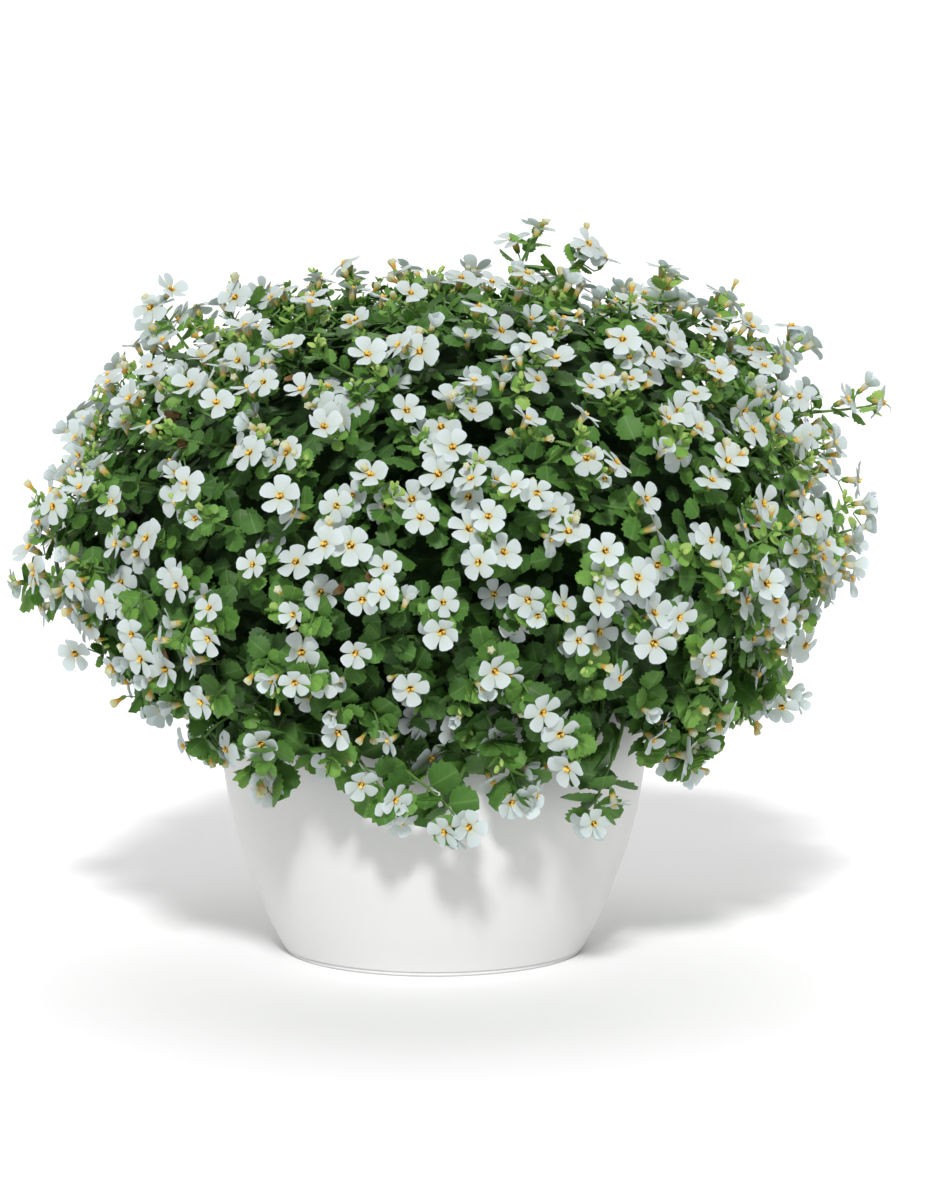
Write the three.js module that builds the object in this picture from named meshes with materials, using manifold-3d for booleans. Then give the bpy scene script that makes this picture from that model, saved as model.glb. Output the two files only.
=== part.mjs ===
// A potted bacopa: a round mound of toothed leaves and white five-petalled flowers that grows
// over the rim of a plain white plastic patio pot.
// Millimetres, +Z up. The origin is the middle of the pot's underside.

import * as THREE from 'three';
import { mergeVertices } from 'three/addons/utils/BufferGeometryUtils.js';
import Module from 'manifold-3d';

const wasm = await Module();
wasm.setup();

// Driving dimensions

// The pot, a common 25 cm patio pot
const POT_HEIGHT = 215;
const POT_FOOT_RADIUS = 82.5;
const POT_RIM_RADIUS = 129;
const POT_WALL = 3;
const POT_FLOOR = 7;
const POT_SIDES = 32;
const DRAIN_HOLES = 4;
const DRAIN_RADIUS = 6;
const DRAIN_RING_RADIUS = 52;

// Left between pieces that touch on the real thing
const GAP = 0.3;

// The potting mix, and the plain holes that the stems stand in
const MIX_TOP = 198;
const HOLE_FLOOR = 176;
const HOLE_CLEARANCE = 0.75;

// The mound is an oblate ball about this middle, open below
const MIDDLE = new THREE.Vector3(0, 0, 235);
const REACH = 235;
const RISE = 150;
const LOWEST_POLAR = THREE.MathUtils.degToRad(142);
const LOWEST_PLATE = THREE.MathUtils.degToRad(131);

// What grows
const STEM_COUNT = 36;
const FLOWER_COUNT = 270;
const LEAF_COUNT = 124;
const FLOWER_RADIUS = 15;
const LEAF_LENGTH = 35;
const CELL_CLEARANCE = 0.5;
const POT_CLEARANCE_RADIUS = 132;
const CLEAR_BELOW = 219;
const TRIES = 10;

// The stems: how far out the last one stands, and how they rise before they arch over the rim
const STEM_RADIUS = 2.2;
const STAND_RADIUS = 96;
const STEM_LIFT = 60;
const ARCH_TOP = 264;
const ARCH_OVERHANG = 6;

// A flower's shape, as shares of its radius; the tube's radius and the stalk are in millimetres
const NOTCH = 0.6;
const NOTCH_SINK = 0.02;
const PETAL_LIFT = 0.1;
const THROAT_SINK = 0.14;
const TUBE_LENGTH = 0.5;
const TUBE_RADIUS = 2;
const SHORTEST_STALK = 6;

// A leaf's shape, as shares of its length: the corners of its toothed edge, along and out
const LEAF_OUTLINE = [
  [0.32, 0.4], [0.52, 0.33], [0.76, 0.34], [1, 0],
  [0.76, -0.34], [0.52, -0.33], [0.32, -0.4],
];
const LEAF_BREADTH = 0.95;
const LEAF_CUP = 0.22;
const LEAF_DROOP = 0.12;

// Each stem ends in a thin leafy plate of its own, measured in shares of the mound's reach
const PLATE_HIGH = 0.85;
const PLATE_LOW = 0.79;
const PLATE_UNDER = 0.7;
const PLATE_INSET = 0.004;
const ROOT_INSET = 0.025;
const ROOT_DEPTH = 0.045;
const NEIGHBOUR_ANGLE = 1.3;
const SHORTEST_EDGE = 0.05;

const GOLDEN_ANGLE = Math.PI * (3 - Math.sqrt(5));

// Where the mound is fuller, or below zero drawn in: the way there, by how much, and how narrowly
const FULLER = [
  [0.79, -0.1, 0.61, 0.1, 9],
  [-0.9, 0, -0.42, -0.085, 4],
  [-0.64, -0.1, -0.76, -0.06, 14],
  [-0.17, 0, 0.98, -0.06, 12],
  [-0.64, 0, 0.77, -0.04, 20],
  [0.87, 0, -0.5, -0.05, 14],
  [0, 1, 0.1, -0.045, 5],
  [-0.2, -1, 0.1, -0.03, 5],
].map(([x, y, z, amount, narrow]) => [new THREE.Vector3(x, y, z).normalize(), amount, narrow]);

// Loose tips that stand out of the mound, where each one ends
const LOOSE_TIPS = [
  [-150, -5, 358], [-112, 10, 364], [57, -20, 401], [85, -15, 389],
  [130, 0, 374], [163, 10, 358], [197, 15, 335], [246, 0, 303],
  [236, -10, 236], [-231, -10, 204], [-166, -20, 148], [-124, -70, 122],
  [-86, -122, 104], [-22, -150, 98], [14, -152, 90], [46, -145, 101],
  [84, -128, 86], [138, -64, 102], [190, -30, 140], [100, 130, 108],
  [20, 152, 112], [-80, 138, 104], [-150, 60, 122],
].map(([x, y, z]) => new THREE.Vector3(x, y, z));

// The two leaves on a loose tip: how far along its stalk, how long, and on which side
const TIP_LEAVES = [[0.5, 23, 1], [0.56, 22, -1]];

// Seeded chance: the same pair of numbers always gives the same value from 0 to 1.
// The purpose is any number that keeps one draw apart from the others.
function chance(index, purpose) {
  const value = Math.sin(index * 127.1 + purpose * 311.7) * 43758.5453;
  return value - Math.floor(value);
}

function spreadAbout(index, purpose, width) {
  return (chance(index, purpose) - 0.5) * width;
}

// Directions are unit vectors in the ball that the mound is when its height is stretched to its width

function place(direction, share) {
  return new THREE.Vector3(
    direction.x * share * REACH,
    direction.y * share * REACH,
    direction.z * share * RISE,
  ).add(MIDDLE);
}

function directionOf(point) {
  const offset = point.clone().sub(MIDDLE);
  return new THREE.Vector3(offset.x / REACH, offset.y / REACH, offset.z / RISE).normalize();
}

function outwardNormal(direction) {
  return new THREE.Vector3(direction.x / REACH, direction.y / REACH, direction.z / RISE).normalize();
}

// Directions that share the mound's surface out evenly, from the crown down to a lowest one
function evenDirections(count, lowest, turn) {
  const steps = 400;
  const areas = [0];
  for (let step = 0; step < steps; step += 1) {
    const polar = (lowest * (step + 0.5)) / steps;
    const slope = Math.hypot(REACH * Math.cos(polar), RISE * Math.sin(polar));
    areas.push(areas[step] + Math.sin(polar) * slope);
  }
  const directions = [];
  let step = 0;
  for (let index = 0; index < count; index += 1) {
    const wanted = (areas[steps] * (index + 0.5)) / count;
    while (areas[step + 1] < wanted) step += 1;
    const part = (wanted - areas[step]) / (areas[step + 1] - areas[step]);
    const polar = (lowest * (step + part)) / steps;
    const azimuth = index * GOLDEN_ANGLE + turn;
    directions.push(new THREE.Vector3(
      Math.sin(polar) * Math.cos(azimuth),
      Math.sin(polar) * Math.sin(azimuth),
      Math.cos(polar),
    ));
  }
  return directions;
}

// How far the mound reaches in a direction: slow waves, lumps, and the fuller places
function swell(direction) {
  const { x, y, z } = direction;
  const waves = 0.025 * Math.sin(4.1 * x + 2.3 * y + 1.7 * z + 0.6)
    + 0.02 * Math.sin(5.3 * y - 3.7 * x + 4.4 * z);
  const lumps = 0.03 * Math.sin(10.3 * x + 2 * z) * Math.sin(9.1 * y + 7.3 * z + 1);
  return FULLER.reduce((sum, [way, amount, narrow]) => {
    const turnedAway = 1 - direction.dot(way);
    return sum + amount * Math.exp(-narrow * turnedAway);
  }, 1 + waves + lumps);
}

// Solids

function solidFrom(points, triangles) {
  const mesh = new wasm.Mesh({
    numProp: 3,
    vertProperties: new Float32Array(points.flatMap((point) => point.toArray())),
    triVerts: new Uint32Array(triangles.flat()),
  });
  return new wasm.Manifold(mesh);
}

function solidFromGeometry(geometry) {
  const bare = geometry.clone();
  bare.deleteAttribute('normal');
  bare.deleteAttribute('uv');
  const merged = mergeVertices(bare, 1e-4);
  const mesh = new wasm.Mesh({
    numProp: 3,
    vertProperties: new Float32Array(merged.attributes.position.array),
    triVerts: new Uint32Array(merged.index.array),
  });
  return new wasm.Manifold(mesh);
}

function geometryFrom(solid) {
  const { vertProperties, triVerts } = solid.getMesh();
  const geometry = new THREE.BufferGeometry();
  geometry.setAttribute('position', new THREE.BufferAttribute(vertProperties, 3));
  geometry.setIndex(new THREE.BufferAttribute(triVerts, 1));
  const faceted = geometry.toNonIndexed();
  faceted.computeVertexNormals();
  return faceted;
}

// A three-sided stalk through a row of points, closed at both ends; one side of it faces level
function stalk(path, radius, level) {
  const points = [];
  path.forEach((point, index) => {
    const before = path[Math.max(index - 1, 0)];
    const after = path[Math.min(index + 1, path.length - 1)];
    const rise = after.clone().sub(before).normalize().cross(level).normalize();
    for (let corner = 0; corner < 3; corner += 1) {
      const angle = (corner * 2 * Math.PI) / 3;
      points.push(point.clone()
        .addScaledVector(level, radius * Math.cos(angle))
        .addScaledVector(rise, radius * Math.sin(angle)));
    }
  });
  const triangles = [[2, 1, 0]];
  for (let ring = 0; ring < path.length - 1; ring += 1) {
    for (let corner = 0; corner < 3; corner += 1) {
      const here = ring * 3 + corner;
      const next = ring * 3 + ((corner + 1) % 3);
      triangles.push([here, next, next + 3], [here, next + 3, here + 3]);
    }
  }
  const last = (path.length - 1) * 3;
  triangles.push([last, last + 1, last + 2]);
  return solidFrom(points, triangles);
}

// Cells: each stem keeps to its own cone of the mound, halfway to its neighbours

const stemDirections = evenDirections(STEM_COUNT, LOWEST_PLATE, 0.4);

// The level way across a stem's upright plane
function levelWay(index) {
  const own = stemDirections[index];
  return new THREE.Vector3(-own.y, own.x, 0).normalize();
}

// The planes halfway to each neighbour, which nothing on a stem crosses
function cellWalls(index) {
  const own = stemDirections[index];
  return stemDirections
    .filter((other) => other !== own && other.angleTo(own) < NEIGHBOUR_ANGLE)
    .map((other) => {
      const difference = own.clone().sub(other);
      return outwardNormal(difference);
    });
}

const walls = stemDirections.map((direction, index) => cellWalls(index));

function nearestStem(direction) {
  let nearest = 0;
  stemDirections.forEach((other, index) => {
    if (other.dot(direction) > stemDirections[nearest].dot(direction)) nearest = index;
  });
  return nearest;
}

// How far a set of points has to move to be clear of the neighbouring stems and of the pot
function bendClear(points, stem) {
  const shift = new THREE.Vector3();
  const offset = new THREE.Vector3();
  for (let round = 0; round < 12; round += 1) {
    let worst = 0;
    let push = null;
    for (const wall of walls[stem]) {
      for (const point of points) {
        const depth = CELL_CLEARANCE - offset.copy(point).add(shift).sub(MIDDLE).dot(wall);
        if (depth > worst) {
          worst = depth;
          push = wall;
        }
      }
    }
    for (const point of points) {
      offset.copy(point).add(shift);
      const depth = POT_CLEARANCE_RADIUS - Math.hypot(offset.x, offset.y);
      if (offset.z < CLEAR_BELOW && depth > worst) {
        worst = depth;
        push = new THREE.Vector3(offset.x, offset.y, 0).normalize();
      }
    }
    if (!push) return shift;
    shift.addScaledVector(push, worst + 0.05);
  }
  return null;
}

// The planes through the mound's middle that bound a stem's plate: halfway to each neighbour,
// and the mound's lower edge
function plateBounds(index) {
  const own = stemDirections[index];
  const bounds = stemDirections
    .filter((other) => other !== own && other.angleTo(own) < NEIGHBOUR_ANGLE)
    .map((other) => own.clone().sub(other).normalize());
  const azimuth = Math.atan2(own.y, own.x);
  bounds.push(new THREE.Vector3(
    -Math.cos(LOWEST_PLATE) * Math.cos(azimuth),
    -Math.cos(LOWEST_PLATE) * Math.sin(azimuth),
    Math.sin(LOWEST_PLATE),
  ));
  return bounds;
}

// The corners of a plate, cut out of a square about its stem's direction
function plateCorners(index) {
  const own = stemDirections[index];
  const across = levelWay(index);
  const up = own.clone().cross(across);
  let corners = [[-1, -1], [1, -1], [1, 1], [-1, 1]].map(([s, t]) => own.clone()
    .addScaledVector(across, s)
    .addScaledVector(up, t));
  for (const bound of bounds[index]) {
    const kept = [];
    corners.forEach((corner, k) => {
      const next = corners[(k + 1) % corners.length];
      const here = corner.dot(bound) - PLATE_INSET;
      const there = next.dot(bound) - PLATE_INSET;
      if (here >= 0) kept.push(corner);
      if (here * there < 0) kept.push(corner.clone().lerp(next, here / (here - there)));
    });
    corners = kept;
  }
  corners = corners.map((corner) => corner.normalize())
    .filter((corner, k, ring) => corner.angleTo(ring[(k + 1) % ring.length]) > SHORTEST_EDGE);
  return corners.flatMap((corner, k) => [
    corner,
    corner.clone().add(corners[(k + 1) % corners.length]).normalize(),
  ]);
}

const bounds = stemDirections.map((direction, index) => plateBounds(index));
const corners = stemDirections.map((direction, index) => plateCorners(index));
const hearts = corners.map((ring) => ring
  .reduce((sum, corner) => sum.add(corner), new THREE.Vector3())
  .normalize());

// A share of the mound's reach, raised where the pot's wall and rim would be in the way
function clearOfPot(direction, share) {
  const sideways = Math.hypot(direction.x, direction.y) * REACH;
  return direction.z < -0.1 ? Math.max(share, (POT_CLEARANCE_RADIUS + 3) / sideways) : share;
}

// A plate is pleated like overlapping leaves: its corners stand up, the middles of its edges dip,
// and below it narrows to the point where the stem comes in
function plateShape(index) {
  const ring = corners[index];
  const rim = ring.map((corner, k) => {
    const share = (k % 2 === 0 ? PLATE_HIGH : PLATE_LOW) + spreadAbout(index * 20 + k, 41, 0.03);
    return corner.clone().multiplyScalar(clearOfPot(corner, share * swell(corner)));
  });
  const heart = hearts[index];
  const reach = swell(heart);
  const top = heart.clone().multiplyScalar(clearOfPot(heart, PLATE_LOW * reach) + 0.015);
  const bottom = heart.clone().multiplyScalar(clearOfPot(heart, PLATE_UNDER * reach));
  const triangles = ring.flatMap((corner, k) => {
    const next = (k + 1) % ring.length;
    return [[ring.length, k, next], [ring.length + 1, next, k]];
  });
  return { points: [...rim, top, bottom], triangles };
}

const plateShapes = stemDirections.map((direction, index) => plateShape(index));

// The shares at which a ray from the mound's middle enters and leaves a stem's plate
function plateDepths(direction, stem) {
  const { points, triangles } = plateShapes[stem];
  const ray = new THREE.Ray(new THREE.Vector3(), direction);
  const hits = triangles
    .map((corner) => ray.intersectTriangle(...corner.map((k) => points[k]), false, new THREE.Vector3()))
    .filter((hit) => hit)
    .map((hit) => hit.length());
  return [Math.min(...hits), Math.max(...hits)];
}

// Where something that stands at a direction is rooted in its stem's plate
function rootOf(direction, stem, pull = 0.2) {
  const pulled = direction.clone().lerp(hearts[stem], pull).normalize();
  const inside = bounds[stem].every((bound) => pulled.dot(bound) > ROOT_INSET);
  if (!inside && pull < 1) return rootOf(direction, stem, pull + 0.1);
  const [inner, outer] = plateDepths(pulled, stem);
  if (outer - inner < ROOT_DEPTH && pull < 1) return rootOf(direction, stem, pull + 0.1);
  return place(pulled, outer - ROOT_DEPTH * 0.75);
}

// A stem stands upright in the mix, then arches to its plate; the outer ones clear the rim
function stemPath(index) {
  const heart = hearts[index];
  const azimuth = Math.atan2(heart.y, heart.x);
  const standAt = STAND_RADIUS * Math.sqrt((index + 0.5) / STEM_COUNT);
  const [inner, outer] = plateDepths(heart, index);
  const end = place(heart, (inner + outer) / 2);
  const endAt = Math.hypot(end.x, end.y);
  const hangs = end.z < POT_HEIGHT + 20;
  const lastAt = hangs ? endAt - ARCH_OVERHANG : THREE.MathUtils.lerp(standAt, endAt, 0.7);
  const inPlane = (radius, height) => new THREE.Vector3(
    radius * Math.cos(azimuth),
    radius * Math.sin(azimuth),
    height,
  );
  const mouth = MIX_TOP + 8;
  const arch = new THREE.CubicBezierCurve3(
    inPlane(standAt, mouth),
    inPlane(standAt, mouth + STEM_LIFT),
    inPlane(lastAt, Math.max(end.z - 15, ARCH_TOP)),
    end,
  );
  return [inPlane(standAt, HOLE_FLOOR + GAP), ...arch.getPoints(hangs ? 6 : 4)];
}

// A flower: five petals with notches between them round a sunk throat, on a tube and a stalk
function flower(middle, facing, radius, turn, stem, rootAt = null) {
  const side = new THREE.Vector3(0, 0, 1).cross(facing);
  if (side.lengthSq() < 1e-6) side.set(1, 0, 0);
  side.normalize();
  const rise = facing.clone().cross(side);
  const head = [];
  for (let corner = 0; corner < 10; corner += 1) {
    const angle = turn + (corner * Math.PI) / 5;
    const tip = corner % 2 === 0;
    const out = radius * (tip ? 1 : NOTCH);
    const forward = radius * (tip ? PETAL_LIFT : -NOTCH_SINK);
    head.push(middle.clone()
      .addScaledVector(side, out * Math.cos(angle))
      .addScaledVector(rise, out * Math.sin(angle))
      .addScaledVector(facing, forward));
  }
  head.push(middle.clone().addScaledVector(facing, -radius * THROAT_SINK));
  const neck = middle.clone().addScaledVector(facing, -radius * TUBE_LENGTH);
  const shift = bendClear([...head, neck], stem);
  if (!shift) return null;
  head.forEach((point) => point.add(shift));
  neck.add(shift);
  const root = rootAt ?? rootOf(directionOf(neck), stem);
  const heading = neck.clone().sub(root);
  if (heading.length() < SHORTEST_STALK) return null;
  const neckRing = [0, 1, 2].map((corner) => {
    const angle = turn + Math.PI / 5 + (corner * 2 * Math.PI) / 3;
    return neck.clone()
      .addScaledVector(side, TUBE_RADIUS * Math.cos(angle))
      .addScaledVector(rise, TUBE_RADIUS * Math.sin(angle));
  });
  const throat = 10;
  const rootPoint = 14;
  const triangles = [];
  for (let corner = 0; corner < 10; corner += 1) {
    const next = (corner + 1) % 10;
    const neckHere = 11 + Math.floor((corner * 3) / 10);
    const neckNext = 11 + (Math.floor(((corner + 1) * 3) / 10) % 3);
    triangles.push([throat, corner, next], [next, corner, neckHere]);
    if (neckNext !== neckHere) {
      triangles.push([next, neckHere, neckNext], [neckNext, neckHere, rootPoint]);
    }
  }
  return solidFrom([...head, ...neckRing, root], triangles);
}

// A leaf: a blade with two teeth a side, thickest along its midrib, narrowing to its root
function leaf(base, axis, face, length, root, stem) {
  const across = axis.clone().cross(face).normalize();
  const up = across.clone().cross(axis).normalize();
  const blade = LEAF_OUTLINE.map(([along, out]) => base.clone()
    .addScaledVector(axis, along * length)
    .addScaledVector(across, out * LEAF_BREADTH * length)
    .addScaledVector(up, (Math.abs(out) * LEAF_CUP - along * along * LEAF_DROOP) * length));
  const ridge = base.clone().addScaledVector(axis, 0.5 * length);
  blade.push(ridge.clone().addScaledVector(up, 0.5), ridge.clone().addScaledVector(up, -0.9));
  const shift = bendClear(blade, stem);
  if (!shift) return null;
  blade.forEach((point) => point.add(shift));
  const rootHeading = ridge.add(shift).sub(root);
  const rootedBehind = rootHeading.dot(axis) > 0.7 * rootHeading.length();
  if (!rootedBehind) return null;
  const [ribTop, ribBottom, rootPoint] = [7, 8, 9];
  const outline = [rootPoint, 0, 1, 2, 3, 4, 5, 6, rootPoint];
  const triangles = [];
  for (let k = 0; k < outline.length - 1; k += 1) {
    triangles.push([ribTop, outline[k], outline[k + 1]], [ribBottom, outline[k + 1], outline[k]]);
  }
  return solidFrom([...blade, root], triangles);
}

// A leaf that stands out of its stem's plate, leaning over it; each try turns it another way
function plateLeaf(direction, index, attempt) {
  const stem = nearestStem(direction);
  const normal = outwardNormal(direction);
  const turn = (chance(index, 11) + attempt * 0.382) * 2 * Math.PI;
  const sideways = new THREE.Vector3(Math.cos(turn), Math.sin(turn), 0.3).cross(normal).normalize();
  const axis = normal.clone().multiplyScalar(0.5).addScaledVector(sideways, 0.87).normalize();
  const face = normal.clone().addScaledVector(sideways, -0.5).normalize();
  const length = LEAF_LENGTH * (0.85 + 0.3 * chance(index, 12)) * (1 - 0.03 * attempt);
  const share = (0.875 + 0.05 * chance(index, 13 + attempt)) * swell(direction);
  const base = place(direction, share).addScaledVector(axis, -length * 0.5);
  const root = rootOf(directionOf(base), stem);
  return leaf(base, axis, face, length, root, stem);
}

// A flower at the mound's surface; each try moves it a little and turns it another way
function plateFlower(direction, index, attempt) {
  const stem = nearestStem(direction);
  const normal = outwardNormal(direction);
  const facing = normal.clone()
    .add(new THREE.Vector3(
      spreadAbout(index, 1 + 20 * attempt, 0.9),
      spreadAbout(index, 2 + 20 * attempt, 0.9),
      0.12 + spreadAbout(index, 3 + 20 * attempt, 0.6),
    ))
    .normalize();
  const share = (0.93 + 0.08 * chance(index, 4 + 20 * attempt)) * swell(direction);
  const radius = FLOWER_RADIUS * (0.9 + 0.2 * chance(index, 5)) * (1 - 0.02 * attempt);
  const turn = chance(index, 6 + 20 * attempt) * 2 * Math.PI;
  const drift = new THREE.Vector3(
    spreadAbout(index, 7 + 20 * attempt, 4 * attempt),
    spreadAbout(index, 8 + 20 * attempt, 4 * attempt),
    spreadAbout(index, 9 + 20 * attempt, 4 * attempt),
  );
  return flower(place(direction, share).add(drift), facing, radius, turn, stem);
}

// Adds the first try that is rooted in its stem's plate and crosses nothing else on the stem
function growClear(stem, tries, make) {
  for (let attempt = 0; attempt < tries; attempt += 1) {
    const piece = make(attempt);
    if (!piece || piece.intersect(plates[stem]).isEmpty()) continue;
    if (growth[stem].every((other) => piece.intersect(other).isEmpty())) {
      growth[stem].push(piece);
      return;
    }
  }
}

// A loose tip: a thin side shoot with leaves along it and a flower at its end
function looseTip(tip, index) {
  const stem = nearestStem(directionOf(tip));
  const room = [[1, 0, 0], [-1, 0, 0], [0, 1, 0], [0, -1, 0], [0, 0, 1], [0, 0, -1]]
    .map((way) => new THREE.Vector3(...way).multiplyScalar(FLOWER_RADIUS).add(tip));
  const end = tip.clone().add(bendClear(room, stem) ?? new THREE.Vector3());
  const root = rootOf(directionOf(end), stem, 0.55);
  const heading = end.clone().sub(root).normalize();
  const across = new THREE.Vector3(0, 0, 1).cross(heading).normalize();
  const face = heading.clone().cross(across).normalize();
  const facing = heading.clone().addScaledVector(face, spreadAbout(index, 31, 1)).normalize();
  const tipRadius = FLOWER_RADIUS * 0.85;
  const pieces = [flower(end, facing, tipRadius, index, stem, root)];
  const neck = end.clone().addScaledVector(facing, -tipRadius * TUBE_LENGTH);
  TIP_LEAVES.forEach(([share, length, side]) => {
    const node = root.clone().lerp(neck, share);
    const axis = across.clone().multiplyScalar(side).addScaledVector(heading, 0.7).normalize();
    pieces.push(leaf(node.clone().addScaledVector(axis, 1), axis, face, length, node, stem));
  });
  return [stem, pieces.filter((piece) => piece && !piece.intersect(pieces[0]).isEmpty())];
}

// Materials

const plastic = new THREE.MeshStandardMaterial({ color: 0xe9e9e7, roughness: 0.4, metalness: 0 });
const peat = new THREE.MeshStandardMaterial({ color: 0x33241a, roughness: 0.95, metalness: 0 });
const foliage = new THREE.MeshStandardMaterial({ color: 0x4c7a2e, roughness: 0.6, metalness: 0 });

const pottedBacopa = new THREE.Group();

function addPiece(name, geometry, material) {
  const mesh = new THREE.Mesh(geometry, material.clone());
  mesh.name = name;
  pottedBacopa.add(mesh);
}

// The pot: a thin tapered shell with a narrow flat foot, a rolled rim and drain holes

// Radius and height up the slightly rounded taper, outside, and down it, inside
const TAPER_TOP_RADIUS = 124;
const potFlare = [[87.5, 10], [95, 26], [107, 59], [114, 88], [120, 135], [TAPER_TOP_RADIUS, 196]];
const innerFlare = [[TAPER_TOP_RADIUS, 196], [120, 135], [107, 59]];

function potProfile() {
  const outside = [[0, 0], [POT_FOOT_RADIUS - 1.5, 0], [POT_FOOT_RADIUS, 1.2], ...potFlare,
    [POT_RIM_RADIUS, 199], [POT_RIM_RADIUS, POT_HEIGHT - 2], [POT_RIM_RADIUS - 2, POT_HEIGHT]];
  const inside = [[TAPER_TOP_RADIUS - POT_WALL, POT_HEIGHT],
    ...innerFlare.map(([r, z]) => [r - POT_WALL, z]),
    [POT_FOOT_RADIUS, POT_FLOOR], [0, POT_FLOOR]];
  return [...outside, ...inside].map(([r, z]) => new THREE.Vector2(r, z));
}

function pot() {
  const lathe = new THREE.LatheGeometry(potProfile(), POT_SIDES);
  lathe.rotateX(Math.PI / 2);
  let shell = solidFromGeometry(lathe);
  for (let k = 0; k < DRAIN_HOLES; k += 1) {
    const angle = ((k + 0.5) * 2 * Math.PI) / DRAIN_HOLES;
    const drill = new THREE.CylinderGeometry(DRAIN_RADIUS, DRAIN_RADIUS, 30, 8);
    drill.rotateX(Math.PI / 2);
    drill.translate(DRAIN_RING_RADIUS * Math.cos(angle), DRAIN_RING_RADIUS * Math.sin(angle), 0);
    shell = shell.subtract(solidFromGeometry(drill));
  }
  return shell;
}

// The potting mix: it fills the pot, its top is uneven, and each stem stands in a plain hole

function pottingMix() {
  const inset = POT_WALL + GAP;
  const profile = [[0, POT_FLOOR + GAP], [POT_FOOT_RADIUS - GAP, POT_FLOOR + GAP],
    ...innerFlare.map(([r, z]) => [r - inset, z]).reverse(),
    [88, MIX_TOP + 1], [52, MIX_TOP], [0, MIX_TOP + 1]];
  const lathe = new THREE.LatheGeometry(profile.map(([r, z]) => new THREE.Vector2(r, z)), POT_SIDES);
  lathe.rotateX(Math.PI / 2);
  const points = lathe.attributes.position;
  for (let k = 0; k < points.count; k += 1) {
    const x = points.getX(k);
    const y = points.getY(k);
    if (points.getZ(k) > MIX_TOP - 1) {
      points.setZ(k, points.getZ(k) + 2 * Math.sin(x / 11 + 1) * Math.cos(y / 13));
    }
  }
  let body = solidFromGeometry(lathe);
  for (let index = 0; index < STEM_COUNT; index += 1) {
    const [foot, mouth] = stemPath(index);
    const floor = foot.clone().setZ(HOLE_FLOOR);
    const top = mouth.clone().setZ(MIX_TOP + 12);
    body = body.subtract(stalk([floor, top], STEM_RADIUS + HOLE_CLEARANCE, levelWay(index)));
  }
  return body;
}

addPiece('pot', geometryFrom(pot()), plastic);
addPiece('potting_mix', geometryFrom(pottingMix()), peat);

// The leafy stems, each with all that grows on it

const plates = plateShapes.map(({ points, triangles }) => {
  const spots = points.map((point) => place(point, 1));
  return solidFrom(spots, triangles);
});
const growth = stemDirections.map((direction, index) => {
  const path = stemPath(index);
  return [stalk(path, STEM_RADIUS, levelWay(index))];
});

LOOSE_TIPS.forEach((tip, index) => {
  const [stem, pieces] = looseTip(tip, index);
  growth[stem].push(...pieces);
});

evenDirections(FLOWER_COUNT, LOWEST_POLAR, 0).forEach((direction, index) => {
  growClear(nearestStem(direction), TRIES, (attempt) => plateFlower(direction, index, attempt));
});

evenDirections(LEAF_COUNT, LOWEST_POLAR, 1.9).forEach((direction, index) => {
  growClear(nearestStem(direction), TRIES, (attempt) => plateLeaf(direction, index, attempt));
});

growth.forEach((pieces, index) => {
  const whole = pieces.reduce((joined, piece) => joined.add(piece), plates[index]);
  addPiece(`leafy_stem_${String(index + 1).padStart(2, '0')}`, geometryFrom(whole), foliage);
});

export default pottedBacopa;
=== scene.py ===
import bpy
import numpy as np
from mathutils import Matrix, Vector


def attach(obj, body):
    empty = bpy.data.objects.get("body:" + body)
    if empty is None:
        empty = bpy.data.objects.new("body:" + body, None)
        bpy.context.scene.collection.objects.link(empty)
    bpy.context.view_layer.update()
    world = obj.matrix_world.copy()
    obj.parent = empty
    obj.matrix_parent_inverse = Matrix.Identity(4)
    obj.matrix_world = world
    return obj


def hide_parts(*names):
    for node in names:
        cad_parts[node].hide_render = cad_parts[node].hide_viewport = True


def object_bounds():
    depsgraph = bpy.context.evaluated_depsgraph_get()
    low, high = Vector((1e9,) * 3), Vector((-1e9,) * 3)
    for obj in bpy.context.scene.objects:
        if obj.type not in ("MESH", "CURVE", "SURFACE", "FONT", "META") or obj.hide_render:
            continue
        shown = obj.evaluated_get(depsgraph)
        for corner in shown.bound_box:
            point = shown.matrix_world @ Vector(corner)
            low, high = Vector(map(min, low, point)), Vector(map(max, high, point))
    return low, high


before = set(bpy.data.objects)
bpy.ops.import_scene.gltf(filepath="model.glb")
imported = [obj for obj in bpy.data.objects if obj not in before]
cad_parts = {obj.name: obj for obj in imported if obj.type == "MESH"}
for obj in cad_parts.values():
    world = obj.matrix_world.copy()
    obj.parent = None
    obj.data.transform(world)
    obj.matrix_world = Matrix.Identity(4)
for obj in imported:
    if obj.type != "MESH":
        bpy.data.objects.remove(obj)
cad_box = [list(corner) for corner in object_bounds()]

# The pot is a plain patio pot, moulded in one piece of satin white plastic. Its side curves in to
# a narrower foot that ends in a fine bead, and its rim is a plain band that stands a little out.
# Four holes through its floor let water out.

POT_SIDES = 144
POT_SHARP = 35
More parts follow.
